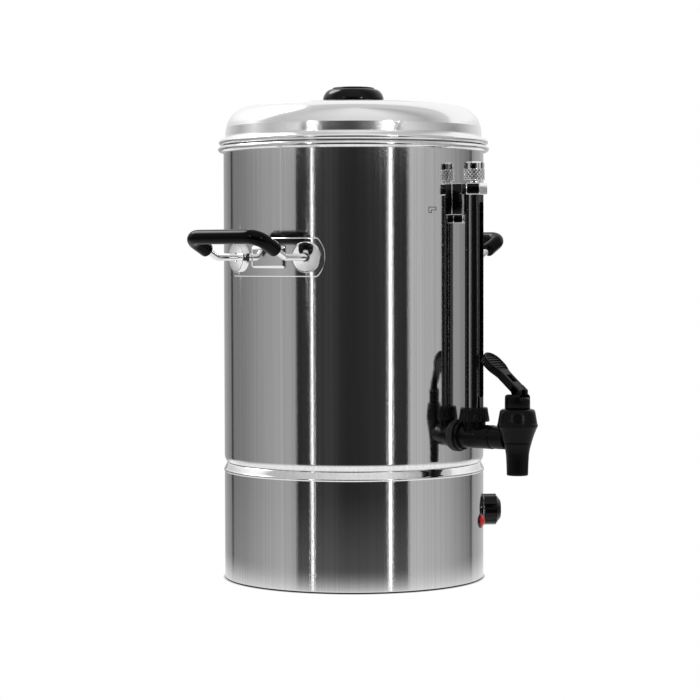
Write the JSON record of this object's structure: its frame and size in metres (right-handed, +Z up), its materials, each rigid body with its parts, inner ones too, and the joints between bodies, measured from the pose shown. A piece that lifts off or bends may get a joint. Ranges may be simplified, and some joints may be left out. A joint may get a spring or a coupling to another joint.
{
  "type": "hot water urn",
  "caption": "Cylindrical steel hot water urn with domed lift-off lid, side bail handles, front sight gauge with screw cap, self-closing lever tap and thermostat dial.",
  "frame": {"origin": "on the body's axis at the plane the urn stands on", "axes": "+Z up along the body's axis, -Y towards the tap and gauge, handles along X"},
  "size_m": [0.3564, 0.3162, 0.434],
  "materials": {
    "polished_steel": "bright polished stainless steel with fine vertical grain",
    "plain_steel": "plain stainless sheet",
    "lid_steel": "mirror polished stainless steel",
    "base_sheet": "dark coated sheet",
    "foot_rubber": "black rubber",
    "zinc": "zinc plated steel",
    "black_gloss": "glossy black heat-proof plastic",
    "handle_chrome": "bright plated steel",
    "gauge_chrome": "bright plated brass",
    "gauge_tube": "clear glass",
    "seal_rubber": "black rubber seal",
    "tap_black": "glossy black plastic",
    "silicone": "translucent silicone",
    "spring_steel": "spring steel wire",
    "control_case": "pale moulded plastic",
    "lamp_black": "black plastic",
    "lamp_red": "clear red plastic",
    "element_sheath": "steel sheathed heating tube"
  },
  "bodies": {
    "urn": {"tank_wall": "polished_steel", "tank_floor": "plain_steel", "base_skirt": "polished_steel", "base_plate": "base_sheet", "foot_ring": "foot_rubber", "tie_rods": "zinc", "tie_nuts": "zinc", "handle_plate_left": "handle_chrome", "handle_discs_left": "handle_chrome", "handle_rod_left": "handle_chrome", "handle_grip_left": "black_gloss", "handle_plate_right": "handle_chrome", "handle_discs_right": "handle_chrome", "handle_rod_right": "handle_chrome", "handle_grip_right": "black_gloss", "gauge_fitting": "gauge_chrome", "gauge_washer": "seal_rubber", "gauge_stud_nut": "zinc", "gauge_guard": "gauge_chrome", "gauge_glass": "gauge_tube", "gauge_nut": "tap_black", "gauge_seal": "seal_rubber", "gauge_tee": "tap_black", "tap_body": "tap_black", "tap_washer": "seal_rubber", "tap_inner_washer": "seal_rubber", "tap_backnut": "tap_black", "tap_bonnet": "tap_black", "tap_spring": "spring_steel", "thermostat": "control_case", "thermostat_nut": "zinc", "lamp_bezel": "lamp_black", "lamp_lens": "lamp_red", "lamp_nut": "lamp_black", "cable_gland": "lamp_black", "gland_nut": "lamp_black", "heating_element": "element_sheath", "element_seals": "seal_rubber", "element_nuts": "zinc", "boil_dry_cutout": "control_case"},
    "lid": {"lid_dome": "lid_steel", "lid_ring": "plain_steel", "lid_knob": "black_gloss", "lid_knob_cap": "black_gloss", "lid_screw": "zinc"},
    "cap_carrier": {"gauge_cap_seal": "seal_rubber"},
    "cap": {"gauge_cap": "gauge_chrome"},
    "stem": {"tap_stem": "tap_black", "tap_seat": "silicone", "lever_pin": "zinc"},
    "lever": {"tap_lever": "tap_black"},
    "dial": {"thermostat_knob": "black_gloss", "thermostat_shaft": "zinc"}
  },
  "joints": [
    {"name": "lid_lift", "type": "slide", "parent": "urn", "child": "lid", "axis": [0, 0, 1], "range_m": [0, 0.15]},
    {"name": "cap_rise", "type": "slide", "parent": "urn", "child": "cap_carrier", "axis": [0, 0, 1], "range_m": [0, 0.006]},
    {"name": "cap_turn", "type": "hinge", "parent": "cap_carrier", "child": "cap", "pos_m": [0, -0.132, 0.355], "axis": [0, 0, 1], "range_deg": [0, 1442]},
    {"name": "stem_lift", "type": "slide", "parent": "urn", "child": "stem", "axis": [0, 0, 1], "range_m": [0, 0.003], "stiffness_N_per_m": 150, "springref_m": -0.004, "deforming": ["tap_spring"]},
    {"name": "lever_pull", "type": "hinge", "parent": "stem", "child": "lever", "pos_m": [0, -0.177, 0.1699], "axis": [1, 0, 0], "range_deg": [0, 60.5]},
    {"name": "dial_turn", "type": "hinge", "parent": "urn", "child": "dial", "pos_m": [0.07843, -0.08411, 0.0584], "axis": [0.682, -0.7314, 0], "range_deg": [-270, 0]}
  ],
  "couplings": [
    {"joint": "lever_pull", "follows": "stem_lift", "rad_per_m": 349.07},
    {"joint": "cap_turn", "follows": "cap_rise", "rad_per_m": 4188.8}
  ]
}
